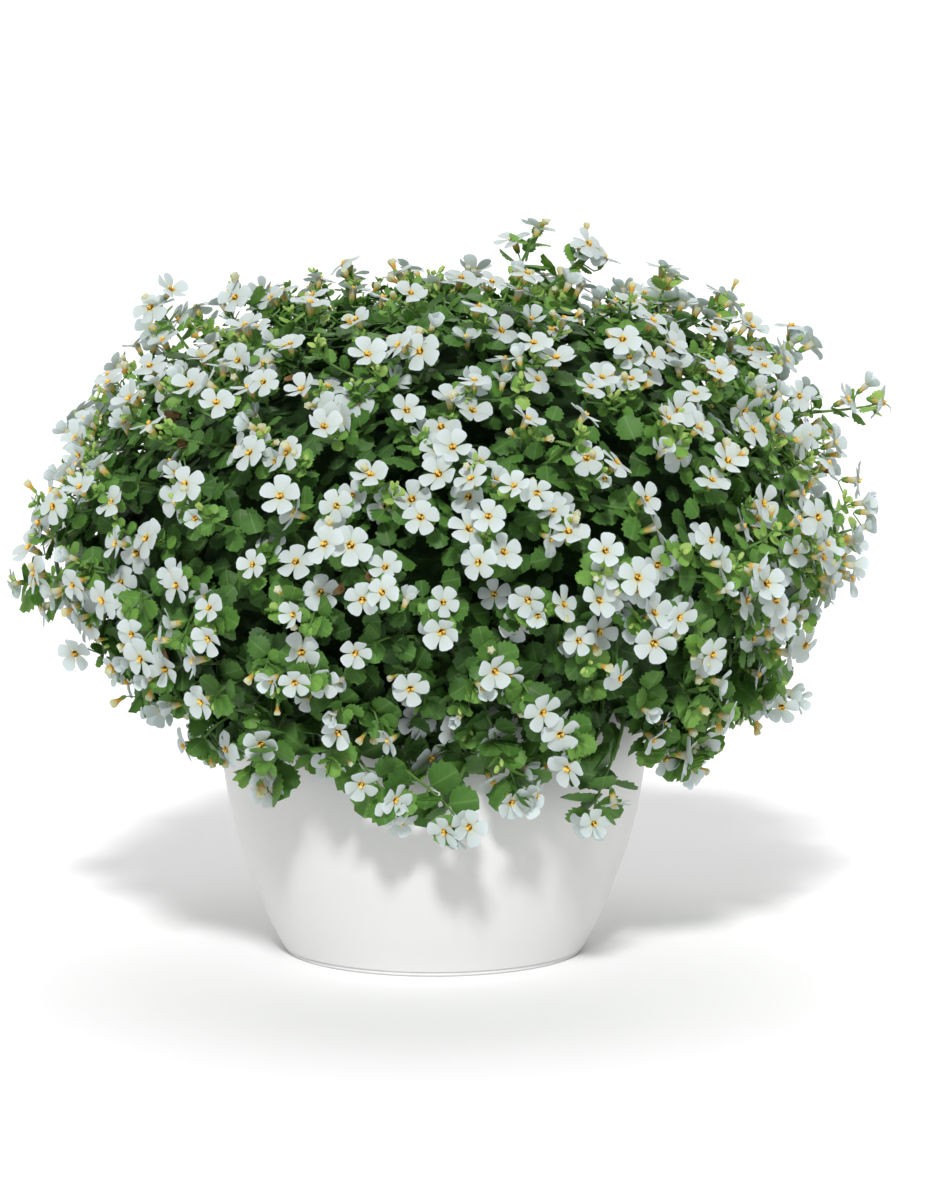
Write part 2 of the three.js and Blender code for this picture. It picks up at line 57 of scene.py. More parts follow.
# Points of the pot's profile, each a radius and a height in millimetres.
POT_FOOT = [(0, 0), (40, 0), (70, 0)]
POT_BEAD = [(80.5, 0), (81.8, 0.25), (82.5, 1), (82.6, 2), (82.4, 2.5)]
POT_SIDE = [(83.8, 3), (87.5, 10), (95, 26), (107, 59), (114, 88), (120, 135), (124, 195)]
POT_RIM = [
    (124.4, 196.4), (127.6, 197.2), (128.8, 198.6), (129, 201), (129, 211.5), (128.6, 213.6),
    (127.4, 214.7), (126, 215), (123, 215), (121.6, 214.6), (121, 213.5),
]
POT_INSIDE = [(121, 195), (117, 135), (111.2, 89), (104, 59), (91, 26), (84.2, 10), (81, 7)]
POT_FLOOR_MIDDLE = [(0, 7)]
DRAIN_COUNT = 4
DRAIN_RADIUS = 0.006
DRAIN_RING_RADIUS = 0.052
DRILL_BOTTOM = -0.01
DRILL_TOP = 0.02
POT_WHITE = (0.745, 0.745, 0.74, 1)
POT_CLOUD = (0.715, 0.715, 0.705, 1)


def curve_through(points, steps):
    """A smooth line through a row of points: between each two runs the cubic whose slope at a
    point is half the way from the point before it to the point after it."""
    points = np.asarray(points, float)
    before = np.vstack([2 * points[0] - points[1], points[:-1]])
    after = np.vstack([points[1:], 2 * points[-1] - points[-2]])
    slope = (after - before) / 2
    t = np.linspace(0, 1, steps, endpoint=False)[:, None, None]
    line = (
        (2 * t**3 - 3 * t**2 + 1) * points[:-1]
        + (t**3 - 2 * t**2 + t) * slope[:-1]
        + (3 * t**2 - 2 * t**3) * points[1:]
        + (t**3 - t**2) * slope[1:]
    )
    return np.vstack([line.transpose(1, 0, 2).reshape(-1, points.shape[1]), points[-1:]])


def bodies(grid, **paint):
    """Closed bodies from a grid (body, row, column, xyz) whose columns run right round and whose
    first and last rows are each a single point: four-sided faces between the rows, and a fan of
    three-sided ones at each end. Paint is one number for each place in the grid, by name."""
    count, rows, sides = grid.shape[:3]

    def listed(values):
        middle = values[:, 1:-1].reshape((count, (rows - 2) * sides) + values.shape[3:])
        ends = values[:, :1, 0], values[:, -1:, 0]
        return np.concatenate([ends[0], middle, ends[1]], axis=1).reshape((-1,) + values.shape[3:])

    ring = 1 + np.arange((rows - 2) * sides).reshape(rows - 2, sides)
    turned = np.roll(ring, -1, axis=1)
    last = ring.size + 1
    quads = np.stack([ring[:-1], turned[:-1], turned[1:], ring[1:]], axis=-1).reshape(-1, 4)
    fans = np.concatenate([
        np.stack([np.zeros(sides, int), turned[0], ring[0]], axis=-1),
        np.stack([np.full(sides, last), ring[-1], turned[-1]], axis=-1),
    ])
    start = (np.arange(count) * (last + 1))[:, None, None]
    made = {
        "points": listed(grid),
        "quads": (start + quads).reshape(-1, 4),
        "fans": (start + fans).reshape(-1, 3),
    }
    for name, values in paint.items():
        made[name] = listed(np.broadcast_to(values, grid.shape[:3]))
    return made


def joined(parts):
    """One batch from several, each one's faces moved on past the points before it."""
    starts = np.cumsum([0] + [len(part["points"]) for part in parts[:-1]])
    made = {
        key: np.concatenate([part[key] for part in parts])
        for key in parts[0] if key not in ("quads", "fans")
    }
    for key in ("quads", "fans"):
        made[key] = np.concatenate([part[key] + start for part, start in zip(parts, starts)])
    return made


def mesh_object(name, batch, sharp, material=None):
    """A smooth-shaded object with an edge wherever two faces meet at more than the sharp angle."""
    mesh = bpy.data.meshes.new(name)
    corners = np.concatenate([batch["quads"].ravel(), batch["fans"].ravel()])
    sizes = np.repeat([4, 3], [len(batch["quads"]), len(batch["fans"])])
    mesh.vertices.add(len(batch["points"]))
    mesh.vertices.foreach_set("co", batch["points"].astype(np.float32).ravel())
    mesh.loops.add(len(corners))
    mesh.loops.foreach_set("vertex_index", corners.astype(np.int32))
    mesh.polygons.add(len(sizes))
    mesh.polygons.foreach_set("loop_start", (np.cumsum(sizes) - sizes).astype(np.int32))
    for key, values in batch.items():
        if key not in ("points", "quads", "fans"):
            layer = mesh.attributes.new(key, "FLOAT", "POINT")
            layer.data.foreach_set("value", values.astype(np.float32))
    mesh.update(calc_edges=True)
    mesh.polygons.foreach_set("use_smooth", np.ones(len(sizes), bool))
    mesh.set_sharp_from_angle(angle=np.radians(sharp))
    if material:
        mesh.materials.append(material)
    piece = bpy.data.objects.new(name, mesh)
    bpy.context.scene.collection.objects.link(piece)
    return piece


def turned_body(profile, sides):
    """A body turned about the upright axis: each point (radius, height) of the profile is carried
    round a circle. The profile starts and ends on the axis."""
    angle = np.linspace(0, 2 * np.pi, sides, endpoint=False)
    radius, height = profile[:, :1], np.repeat(profile[:, 1:], sides, axis=1)
    return bodies(np.stack([radius * np.cos(angle), radius * np.sin(angle), height], axis=-1)[None])


class Shader:
    """A material's nodes: each call adds one and joins it to what it is given. The name of an
    input is written with _ for a space."""

    def __init__(self, name):
        self.material = bpy.data.materials.new(name)
        self.material.use_nodes = True
        self.nodes = self.material.node_tree.nodes
        self.links = self.material.node_tree.links
        self.surface = self.nodes["Principled BSDF"]
        self.where = self.nodes.new("ShaderNodeTexCoord").outputs["Object"]

    def give(self, socket, value):
        if isinstance(value, bpy.types.NodeSocket):
            self.links.new(value, socket)
        else:
            socket.default_value = value

    def give_all(self, node, **values):
        for name, value in values.items():
            self.give(node.inputs[name.replace("_", " ")], value)

    def add(self, kind, **values):
        node = self.nodes.new(f"ShaderNode{kind}")
        self.give_all(node, **values)
        return node.outputs

    def noise(self, scale, detail):
        return self.add("TexNoise", Vector=self.where, Scale=scale, Detail=detail)["Fac"]

    def painted(self, name):
        node = self.nodes.new("ShaderNodeAttribute")
        node.attribute_name = name
        return node.outputs["Fac"]

    def math(self, operation, *values):
        node = self.nodes.new("ShaderNodeMath")
        node.operation = operation
        for socket, value in zip(node.inputs, values):
            self.give(socket, value)
        return node.outputs[0]

    def fit(self, value, low, high, to_low=0.0, to_high=1.0):
        return self.add(
            "MapRange", Value=value, From_Min=low, From_Max=high, To_Min=to_low, To_Max=to_high,
        )["Result"]

    def blend(self, share, first, second, kind="MIX"):
        node = self.nodes.new("ShaderNodeMix")
        node.data_type = "RGBA"
        node.blend_type = kind
        self.give_all(node, Factor=share, A=first, B=second)
        return node.outputs["Result"]

    def shades(self, share, stops):
        node = self.nodes.new("ShaderNodeValToRGB")
        ramp = node.color_ramp
        while len(ramp.elements) < len(stops):
            ramp.elements.new(0.5)
        for element, (place, colour) in zip(ramp.elements, stops):
            element.position = place
            element.color = (*colour, 1)
        self.give(node.inputs["Fac"], share)
        return node.outputs["Color"]

    def finish(self, colour, roughness, gloss=0.5):
        self.give_all(
            self.surface, Base_Color=colour, Roughness=roughness, Specular_IOR_Level=gloss,
        )

    def relief(self, height, strength, distance):
        normal = self.add("Bump", Height=height, Strength=strength, Distance=distance)["Normal"]
        self.give_all(self.surface, Normal=normal)
        return normal

    def let_light_through(self, share, colour, normal):
        lit = self.add("BsdfTranslucent", Color=colour, Normal=normal)["BSDF"]
        both = self.nodes.new("ShaderNodeMixShader")
        for socket, value in zip(both.inputs, (share, self.surface.outputs["BSDF"], lit)):
            self.give(socket, value)
        self.give_all(self.nodes["Material Output"], Surface=both.outputs["Shader"])


def pot_plastic():
    """Two close whites in slow clouds, a satin shine that follows them, and a very fine grain."""
    shader = Shader("satin_white_plastic")
    cloudy = shader.noise(9.0, 4.0)
    colour = shader.blend(shader.fit(cloudy, 0.3, 0.7, 0.0, 0.35), POT_WHITE, POT_CLOUD)
    shader.finish(colour, shader.fit(cloudy, 0.3, 0.7, 0.34, 0.46), 0.3)
    shader.relief(shader.noise(700.0, 2.0), 0.12, 0.0002)
    return shader.material


pot_side = curve_through(POT_SIDE, 5)
pot_inside = curve_through(POT_INSIDE, 3)
pot_profile = np.vstack([
    POT_FOOT, POT_BEAD, pot_side, POT_RIM, pot_inside, POT_FLOOR_MIDDLE,
]) / 1000
pot = mesh_object("patio_pot", turned_body(pot_profile, POT_SIDES), POT_SHARP)

drill_profile = np.array([
    (0, DRILL_BOTTOM), (DRAIN_RADIUS, DRILL_BOTTOM), (DRAIN_RADIUS, DRILL_TOP), (0, DRILL_TOP),
])
drills = []
for turn in (np.arange(DRAIN_COUNT) + 0.5) * 2 * np.pi / DRAIN_COUNT:
    drill = turned_body(drill_profile, 24)
    way = np.array([np.cos(turn), np.sin(turn), 0])
    drill["points"] += DRAIN_RING_RADIUS * way
    drills.append(drill)
cutter = mesh_object("drain_drills", joined(drills), POT_SHARP)
cut = pot.modifiers.new("drain_holes", "BOOLEAN")
cut.object = cutter
cut.solver = "EXACT"
bpy.context.view_layer.update()
drilled = bpy.data.meshes.new_from_object(
    pot.evaluated_get(bpy.context.evaluated_depsgraph_get())
)
pot.modifiers.clear()
pot.data = drilled
bpy.data.objects.remove(cutter)
pot.data.materials.clear()
pot.data.materials.append(pot_plastic())
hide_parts("pot")
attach(pot, "root")

# The potting mix is moist peat with bark crumbs and a few white grains. It fills the pot to just
# under the rim, and the stems stand in it.

PEAT_DARK = (0.012, 0.007, 0.004)
PEAT_BROWN = (0.045, 0.026, 0.015)
PEAT_BARK = (0.11, 0.062, 0.034)
GRAIN_WHITE = (0.6, 0.58, 0.53, 1)


def potting_mix():
    """Three browns by noise, white grains where a finer noise peaks, and deep crumbs."""
    shader = Shader("moist_potting_mix")
    crumbs = shader.add("TexVoronoi", Vector=shader.where, Scale=260.0)["Distance"]
    rough = shader.noise(140.0, 6.0)
    colour = shader.shades(rough, [(0.32, PEAT_DARK), (0.55, PEAT_BROWN), (0.72, PEAT_BARK)])
    grains = shader.fit(shader.noise(420.0, 1.0), 0.72, 0.76)
    shader.finish(shader.blend(grains, colour, GRAIN_WHITE), 0.95)
    shader.relief(shader.math("SUBTRACT", rough, crumbs), 0.9, 0.003)
    return shader.material


mix_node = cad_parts["potting_mix"]
mix_node.data.materials.clear()
mix_node.data.materials.append(potting_mix())

# The stems root in the mix, rise and arch over the rim, and each carries its own share of the
# mound. The mound is an oblate ball, open below; a direction is a unit vector in that ball once
# its height is stretched to its width, and a share is how far out something stands along it.

MIDDLE = np.array([0, 0, 0.235])
REACH = 0.235
RISE = 0.150
AXES = np.array([REACH, REACH, RISE])
STEM_COUNT = 36
LOWEST_POLAR = np.radians(142)
LOWEST_PLATE = np.radians(131)
GOLDEN_ANGLE = np.pi * (3 - np.sqrt(5))
UP = np.array([0, 0, 1.0])
STAND_RADIUS = 0.096
HOLE_FLOOR = 0.1763
HOLE_MOUTH = 0.206
STEM_LIFT = 0.060
STEM_END_SHARE = 0.77
STEM_THICK = 0.0021
STEM_THIN = 0.0013
ARCH_TOP = 0.264
ARRIVE_BELOW = 0.015
ARRIVE_INSIDE = 0.006
SURFACE_SAMPLES = 7200
ACROSS_STALKS = [0.31, 0.17, 0.93]
# The mound's fuller and thinner places: a direction, its amount and how quickly that fades.
FULLER = np.array([
    (0.79, -0.1, 0.61, 0.1, 9), (-0.9, 0, -0.42, -0.085, 4), (-0.64, -0.1, -0.76, -0.06, 14),
    (-0.17, 0, 0.98, -0.06, 12), (-0.64, 0, 0.77, -0.04, 20), (0.87, 0, -0.5, -0.05, 14),
    (0, 1, 0.1, -0.045, 5), (-0.2, -1, 0.1, -0.03, 5),
])


def unit(vectors):
    """The same directions, one long."""
    return vectors / np.maximum(np.linalg.norm(vectors, axis=-1, keepdims=True), 1e-12)


def place(direction, share):
    """The point that lies at a share of the mound's reach in a direction from its middle."""
    return direction * np.asarray(share)[..., None] * AXES + MIDDLE


def direction_of(point):
    """The direction in which a point lies."""
    return unit((point - MIDDLE) / AXES)


def outward(direction):
    """The way out of the mound: the upright to the ball's surface there."""
    return unit(direction / AXES)


def chance(index, purpose):
    """A number from 0 to 1 that is always the same for the same index and purpose: the fraction of
    a large multiple of a sine."""
    value = np.sin(index * 127.1 + purpose * 311.7) * 43758.5453
    return value - np.floor(value)


def from_angles(polar, azimuth):
    """The direction at a polar angle from the upright and an azimuth round it."""
    level = np.sin(polar)
    return np.stack([level * np.cos(azimuth), level * np.sin(azimuth), np.cos(polar)], axis=-1)


def even_directions(count, lowest, turn):
    """Directions that share the mound's surface out evenly: the polar angle follows the area from
    the crown down, and each one is turned on from the last by the golden angle."""
    steps = 400
    polar = lowest * (np.arange(steps) + 0.5) / steps
    slope = np.hypot(REACH * np.cos(polar), RISE * np.sin(polar))
    area = np.concatenate([[0], np.cumsum(np.sin(polar) * slope)])
    wanted = area[-1] * (np.arange(count) + 0.5) / count
    polar = np.interp(wanted, area, lowest * np.arange(steps + 1) / steps)
    return from_angles(polar, np.arange(count) * GOLDEN_ANGLE + turn)


def swell(direction):
    """How far the mound reaches in a direction: one plus slow waves, lumps, and for each fuller
    place its amount, which fades by the exponential of how far the direction is turned away."""
    x, y, z = np.moveaxis(direction, -1, 0)
    waves = 0.025 * np.sin(4.1 * x + 2.3 * y + 1.7 * z + 0.6)
    waves += 0.02 * np.sin(5.3 * y - 3.7 * x + 4.4 * z)
    lumps = 0.03 * np.sin(10.3 * x + 2 * z) * np.sin(9.1 * y + 7.3 * z + 1)
    turned_away = 1 - direction @ unit(FULLER[:, :3]).T
    return 1 + waves + lumps + (FULLER[:, 3] * np.exp(-FULLER[:, 4] * turned_away)).sum(axis=-1)


def depth_of(point):
    """How far out a point lies, as a share of the mound's reach in its direction."""
    return np.linalg.norm((point - MIDDLE) / AXES, axis=-1) / swell(direction_of(point))


stem_directions = even_directions(STEM_COUNT, LOWEST_PLATE, 0.4)


def nearest_stem(direction):
    """The stem whose direction lies closest."""
    return np.argmax(direction @ stem_directions.T, axis=-1)


surface = even_directions(SURFACE_SAMPLES, LOWEST_PLATE, 0.0)
owner = nearest_stem(surface)
hearts = unit(np.array([surface[owner == stem].mean(axis=0) for stem in range(STEM_COUNT)]))


def bezier(curve, t):
    """Points at the shares t of cubic curves that leave their start towards one point and reach
    their end from another."""
    start, leave, arrive, end = (part[..., None, :] for part in curve)
    return (
        (1 - t) ** 3 * start + 3 * (1 - t) ** 2 * t * leave
        + 3 * (1 - t) * t**2 * arrive + t**3 * end
    )


def bezier_way(curve, t):
    """Which way those curves run at the shares t."""
    start, leave, arrive, end = (part[..., None, :] for part in curve)
    return unit(
        (1 - t) ** 2 * (leave - start) + 2 * (1 - t) * t * (arrive - leave) + t**2 * (end - arrive)
    )


def tubes(paths, radii, sides, **paint):
    """Stalks: a ring stands square to its path at each point, with the radius given there."""
    way = unit(np.gradient(paths, axis=1))
    aside = unit(np.cross(paths[:, -1] - paths[:, 0], ACROSS_STALKS))[:, None]
    first = unit(aside - (aside * way).sum(axis=-1, keepdims=True) * way)
    second = np.cross(way, first)
    angle = np.linspace(0, 2 * np.pi, sides, endpoint=False)[:, None]
    radii = np.broadcast_to(radii, paths.shape[:2])[..., None, None]
    rings = paths[:, :, None] + radii * (
        first[:, :, None] * np.cos(angle) + second[:, :, None] * np.sin(angle)
    )
    ends = np.repeat(paths[:, :, None], sides, axis=2)
    return bodies(np.concatenate([ends[:, :1], rings, ends[:, -1:]], axis=1), **paint)


azimuth = np.arctan2(hearts[:, 1], hearts[:, 0])
stand_at = STAND_RADIUS * np.sqrt((np.arange(STEM_COUNT) + 0.5) / STEM_COUNT)
stem_end = place(hearts, STEM_END_SHARE * swell(hearts))
end_at = np.hypot(stem_end[:, 0], stem_end[:, 1])
hangs = stem_end[:, 2] < MIDDLE[2]
last_at = np.where(hangs, end_at - ARRIVE_INSIDE, stand_at + (end_at - stand_at) * 0.7)


def in_plane(radius, height):
    """A point in each stem's upright plane."""
    height = np.broadcast_to(height, radius.shape)
    return np.stack([radius * np.cos(azimuth), radius * np.sin(azimuth), height], axis=-1)


arch_curve = (
    in_plane(stand_at, HOLE_MOUTH),
    in_plane(stand_at, HOLE_MOUTH + STEM_LIFT),
    in_plane(last_at, np.maximum(stem_end[:, 2] - ARRIVE_BELOW, ARCH_TOP)),
    stem_end,
)
arches = bezier(arch_curve, np.linspace(0, 1, 15)[:, None])
stem_paths = np.concatenate([in_plane(stand_at, HOLE_FLOOR)[:, None], arches], axis=1)
stem_radii = np.linspace(STEM_THICK, STEM_THIN, stem_paths.shape[1])

# The shoots are the thin green side branches that fill the mound. They leave their stem inside it.
# One ends beside each flower that the solids have, some carry leaves alone, some hang at the
# lower edge, and a few stand out of the mound, which gives it its loose outline.

FLOWER_COUNT = 270
LEAFY_COUNT = 210
HANGING_COUNT = 34
LOOSE_TIPS = np.array([
    (-150, -5, 358), (-112, 10, 364), (57, -20, 401), (85, -15, 389),
    (130, 0, 374), (163, 10, 358), (197, 15, 335), (246, 0, 303),
    (236, -10, 236), (-231, -10, 204), (-166, -20, 148), (-124, -70, 122),
    (-86, -122, 104), (-22, -150, 98), (14, -152, 90), (46, -145, 101),
    (84, -128, 86), (138, -64, 102), (190, -30, 140), (100, 130, 108),
    (20, 152, 112), (-80, 138, 104), (-150, 60, 122),
]) / 1000
LOW_TIP = 0.2
LOW_TIP_LIFT = 0.008
SHOOT_RADIUS = 0.0009
# For a shoot at a flower, a leafy, a hanging and a loose one: how far its root stands from the
# stem's heart, the share of the mound's reach that it roots at, and how much its end turns up.
ROOT_SPREAD = np.array([0.3, 0.3, 0.62, 0.45])
ROOT_SHARE = np.array([0.72, 0.72, 0.79, 0.78])
END_LIFT = np.array([1, 1, 2.4, 0.4])

draw = np.random.default_rng(41)
site = np.arange(FLOWER_COUNT)
site_directions = even_directions(FLOWER_COUNT, LOWEST_POLAR, 0.0)
site_share = (0.93 + 0.08 * chance(site, 4)) * swell(site_directions)
beside = unit(site_directions + draw.normal(0, 0.022, site_directions.shape))
leafy = even_directions(LEAFY_COUNT, LOWEST_POLAR, 2.3)
leafy = unit(leafy + draw.normal(0, 0.05, leafy.shape))
hanging_polar = np.radians(draw.uniform(124, 144, HANGING_COUNT))
hanging_turn = np.arange(HANGING_COUNT) + draw.uniform(-0.4, 0.4, HANGING_COUNT)
hanging = from_angles(hanging_polar, hanging_turn * 2 * np.pi / HANGING_COUNT)
shoot_directions = np.concatenate([beside, leafy, hanging, direction_of(LOOSE_TIPS)])
tip_share = np.concatenate([
    site_share - 0.035,
    draw.uniform(0.90, 0.99, LEAFY_COUNT) * swell(leafy),
    draw.uniform(0.97, 1.05, HANGING_COUNT) * swell(hanging),
    np.ones(len(LOOSE_TIPS)),
])
tips = place(shoot_directions, tip_share)
tips[-len(LOOSE_TIPS):] = LOOSE_TIPS
shoot_count = len(tips)
kind = np.repeat(np.arange(4), [FLOWER_COUNT, LEAFY_COUNT, HANGING_COUNT, len(LOOSE_TIPS)])
is_loose = kind == 3
shoot_stem = nearest_stem(shoot_directions)
shoot_hearts = hearts[shoot_stem]
spread = ROOT_SPREAD[kind][:, None]
root_directions = unit(shoot_hearts + (shoot_directions - shoot_hearts) * spread)
roots = place(root_directions, ROOT_SHARE[kind] * swell(root_directions))
lift = np.where(shoot_directions[:, 2] > -0.15, 0.5, -0.5) * END_LIFT[kind]
end_way = outward(shoot_directions) + lift[:, None] * UP + draw.normal(0, 0.25, tips.shape)
straight = unit(tips - roots)
end_way = unit(np.where(is_loose[:, None], straight + unit(end_way) * 0.3, end_way))
span = np.linalg.norm(tips - roots, axis=-1)[:, None]
tips += LOW_TIP_LIFT * UP * (is_loose & (tips[:, 2] < LOW_TIP))[:, None]
shoot_curve = (
    roots,
    roots + unit(outward(root_directions) + straight) * span * 0.35,
    tips - end_way * span * 0.33,
    tips,
)
shoot_paths = bezier(shoot_curve, np.linspace(0, 1, 8)[:, None])
shoot_radii = np.linspace(1.3, 0.6, shoot_paths.shape[1]) * SHOOT_RADIUS

# The leaves are small and round, with scalloped edges, a pale midrib and faint side veins. They
# sit on the shoots in crossing pairs, smallest and brightest at the tips. Older ones fill the mound
# beneath, darkened by painted shade the deeper and lower they lie, and a few have dried up and
# folded.

# Pairs of leaves from a shoot's tip inwards: how far in, how long, and the teeth on each side.
LEAF_DISTANCES = np.array([1, 3.2, 6.8, 11.5, 17.5, 25, 34]) / 1000
LEAF_LENGTHS = np.array([4.2, 6.5, 9, 11.5, 13, 14, 14.5]) / 1000
LEAF_TEETH = np.array([3, 5, 5, 5, 4, 4, 4])
LEAF_HALF = 0.46
LEAF_THICKNESS = 0.00022
FILLER_COUNT = 2300
FILLER_DEEPEST = 0.745
FILLER_TEETH = 4
DRY_SHARE = 0.006
FILLER_DRY_SHARE = 0.008
DRY_TONE = 1.3
DRY_CROWN = 1.0
# Shade green is painted shade for the mound's inside; dark green is partly leaf colour, partly
# shade.
SHADE_GREEN = (0.011, 0.032, 0.006)
DARK_GREEN = (0.031, 0.091, 0.016)
MID_GREEN = (0.092, 0.232, 0.038)
FRESH_GREEN = (0.200, 0.400, 0.070)
LIME_GREEN = (0.47, 0.63, 0.16)
DRY_BROWN = (0.10, 0.052, 0.015, 1)
DRY_TAN = (0.33, 0.19, 0.075, 1)
PALE_VEIN = (0.55, 0.75, 0.3, 1)
LIT_GREEN = (0.25, 0.45, 0.05, 1)


def leaf_outline(teeth):
    """Along and half-width of a leaf, as shares of its length: a thin stalk, then a rounded blade
    whose edge steps out and in, twice for each tooth."""
    steps = 2 * teeth
    t = (np.arange(steps) + 0.4) / (steps + 0.4)
    step = np.where(np.arange(steps) % 2 == 0, -1, 1)
    half = LEAF_HALF * (1 - np.abs(2 * t**0.8 - 1) ** 2.3) ** 0.6
    along = np.concatenate([[0, 0.12], 0.14 + 0.86 * (t + 0.02 * step), [1]])
    half = np.concatenate([[0, 0.025], half * (1 + 0.11 * step), [0]])
    return along, half


def blades(outline, base, axis, face, length, breadth, crown, droop, seed, thickness):
    """Leaves or petals: across each point of the outline stands a flat triangle, highest along the
    blade's middle. Its edges fall by the crown and rise and fall by a slow wave, and the whole
    blade bends down by the square of the way along."""
    along, half = outline
    across = np.cross(face, axis)
    sides = np.array([1, 0, -1])
    length, breadth, crown, droop, seed = (
        part[:, None, None] for part in (length, breadth, crown, droop, seed)
    )
    reach = along[:, None] * length * np.ones(3)
    width = half[:, None] * sides * length * breadth
    wave = 0.07 * np.sin(7 * along[:, None] + 40 * seed + 2 * sides) * half[:, None] * np.abs(sides)
    ridge = thickness * (1 - np.abs(sides)) * np.minimum(half[:, None] * 20, 1)
    height = ridge + wave * length - crown * np.abs(width) - droop * along[:, None] ** 2 * length
    return (
        base[:, None, None]
        + reach[..., None] * axis[:, None, None]
        + width[..., None] * across[:, None, None]
        + height[..., None] * face[:, None, None]
    )


def leaves(base, axis, face, length, breadth, crown, droop, tone, teeth):
    """Leaf blades with their tone, painted shade included, and the place of each point along and
    across its leaf.
    """
    outline = leaf_outline(teeth)
    grid = blades(outline, base, axis, face, length, breadth, crown, droop, tone, LEAF_THICKNESS)
    across = outline[1][:, None] * np.array([1, 0, -1]) / LEAF_HALF
    return bodies(grid, tone=tone[:, None, None], along=outline[0][:, None], across=across)


def leaf_stance(axis, wanted, bent):
    """Turns leaves towards the light: each axis is bent by a share flatter to the way that the
    blade should face, and the face is made square to it."""
    lean = (axis * wanted).sum(axis=-1, keepdims=True)
    axis = unit(axis - bent * lean * wanted)
    face = unit(wanted - (axis * wanted).sum(axis=-1, keepdims=True) * axis)
    return axis, face


pairs = len(LEAF_DISTANCES)
node_share = np.clip(1 - LEAF_DISTANCES[None] * 1.1 / (span + 0.004), 0.02, 1)[..., None]
node = bezier(shoot_curve, node_share)
node_way = bezier_way(shoot_curve, node_share)
spin = draw.uniform(0, np.pi, (shoot_count, 1)) + np.arange(pairs) * np.pi / 2
first = unit(np.cross(node_way, ACROSS_STALKS))
second = np.cross(node_way, first)
radial = np.cos(spin)[..., None] * first + np.sin(spin)[..., None] * second
radial = np.stack([radial, -radial], axis=2)
opening = np.radians(np.interp(np.arange(pairs), [0, 3, 6], [28, 62, 75]))[None, :, None, None]
opening = opening + draw.normal(0, 0.15, radial.shape[:3] + (1,))
leaf_axis = unit(radial * np.sin(opening) + node_way[:, :, None] * np.cos(opening))
bare = is_loose[:, None] & (np.arange(pairs) < 2)
there = (LEAF_DISTANCES[None] < span * 0.97) & ~bare
there = np.broadcast_to(there[..., None], radial.shape[:3])
leaf_shoot = np.broadcast_to(np.arange(shoot_count)[:, None, None], radial.shape[:3])[there]
leaf_order = np.broadcast_to(np.arange(pairs)[None, :, None], radial.shape[:3])[there]
leaf_base = np.repeat(node[:, :, None], 2, axis=2)[there]
leaf_axis = leaf_axis[there]

leaf_directions = direction_of(leaf_base)
leaf_depth = depth_of(leaf_base)
low = np.clip((0.27 - leaf_base[:, 2]) / 0.12, 0, 1)
high = np.clip(1.6 * leaf_directions[:, 2], 0, 1)
wanted = draw.normal(0, 1, leaf_base.shape) * (0.34 + 0.26 * high)[:, None]
wanted = unit(wanted + outward(leaf_directions) + 0.5 * UP)
leaf_axis, leaf_face = leaf_stance(leaf_axis, wanted, (0.6 - 0.4 * high)[:, None])
leaf_length = np.interp(leaf_order + 1.3 * low, np.arange(pairs), LEAF_LENGTHS)
leaf_length = leaf_length * (0.86 + 0.34 * low) * draw.uniform(0.8, 1.15, len(low))
drift = 0.5 + 0.5 * np.sin(11 * leaf_directions[:, 0] + 3) * np.cos(
    9 * leaf_directions[:, 1] + 7 * leaf_directions[:, 2]
)
# Painted shade in the tone: darker the deeper and lower a leaf lies, lighter towards the top and
# the right side where the light falls; paler towards the tips and by chance, as the leaves are.
leaf_tone_and_shade = 0.26 + 0.3 * np.clip((leaf_depth - 0.8) / 0.16, 0, 1) + 0.08 * drift - 0.20 * low
leaf_tone_and_shade += np.interp(leaf_order, [0, 2, 4], [0.30, 0.17, 0.0]) * (1 - 0.3 * low)
leaf_tone_and_shade = leaf_tone_and_shade + 0.1 * chance(leaf_shoot, 3) + draw.normal(0, 0.06, len(low))
leaf_tone_and_shade = leaf_tone_and_shade + 0.03 * leaf_directions[:, 2] + 0.085 * leaf_directions[:, 0] - 0.01
dry = draw.uniform(0, 1, len(low)) < DRY_SHARE
leaf_tone_and_shade = np.where(dry, DRY_TONE, np.clip(leaf_tone_and_shade, 0.08, 0.95))
leaf_length = leaf_length * np.where(dry, 0.7, 1) * np.where(is_loose[leaf_shoot], 1.25, 1)
leaf_breadth = draw.uniform(0.84, 1.08, len(low)) - 0.24 * high
leaf_crown = np.where(dry, DRY_CROWN, draw.uniform(0.12, 0.42, len(low)))
leaf_droop = draw.uniform(-0.08, 0.3, len(low)) + 0.5 * dry

filler_directions = even_directions(FILLER_COUNT, np.radians(134), 1.1)
filler_directions = unit(filler_directions + draw.normal(0, 0.02, filler_directions.shape))
filler_depth = draw.uniform(FILLER_DEEPEST, 0.885, FILLER_COUNT)
filler_base = place(filler_directions, filler_depth * swell(filler_directions))
filler_out = outward(filler_directions)
filler_axis = unit(np.cross(filler_out, draw.normal(0, 1, filler_out.shape)) + 0.45 * filler_out)
filler_wanted = unit(filler_out + 0.4 * UP + draw.normal(0, 0.4, filler_out.shape))
filler_axis, filler_face = leaf_stance(filler_axis, filler_wanted, 0.6)
filler_length = draw.uniform(0.010, 0.0155, FILLER_COUNT)
filler_breadth = draw.uniform(0.8, 1.05, FILLER_COUNT)
filler_x, filler_z = filler_directions[:, 0], filler_directions[:, 2]
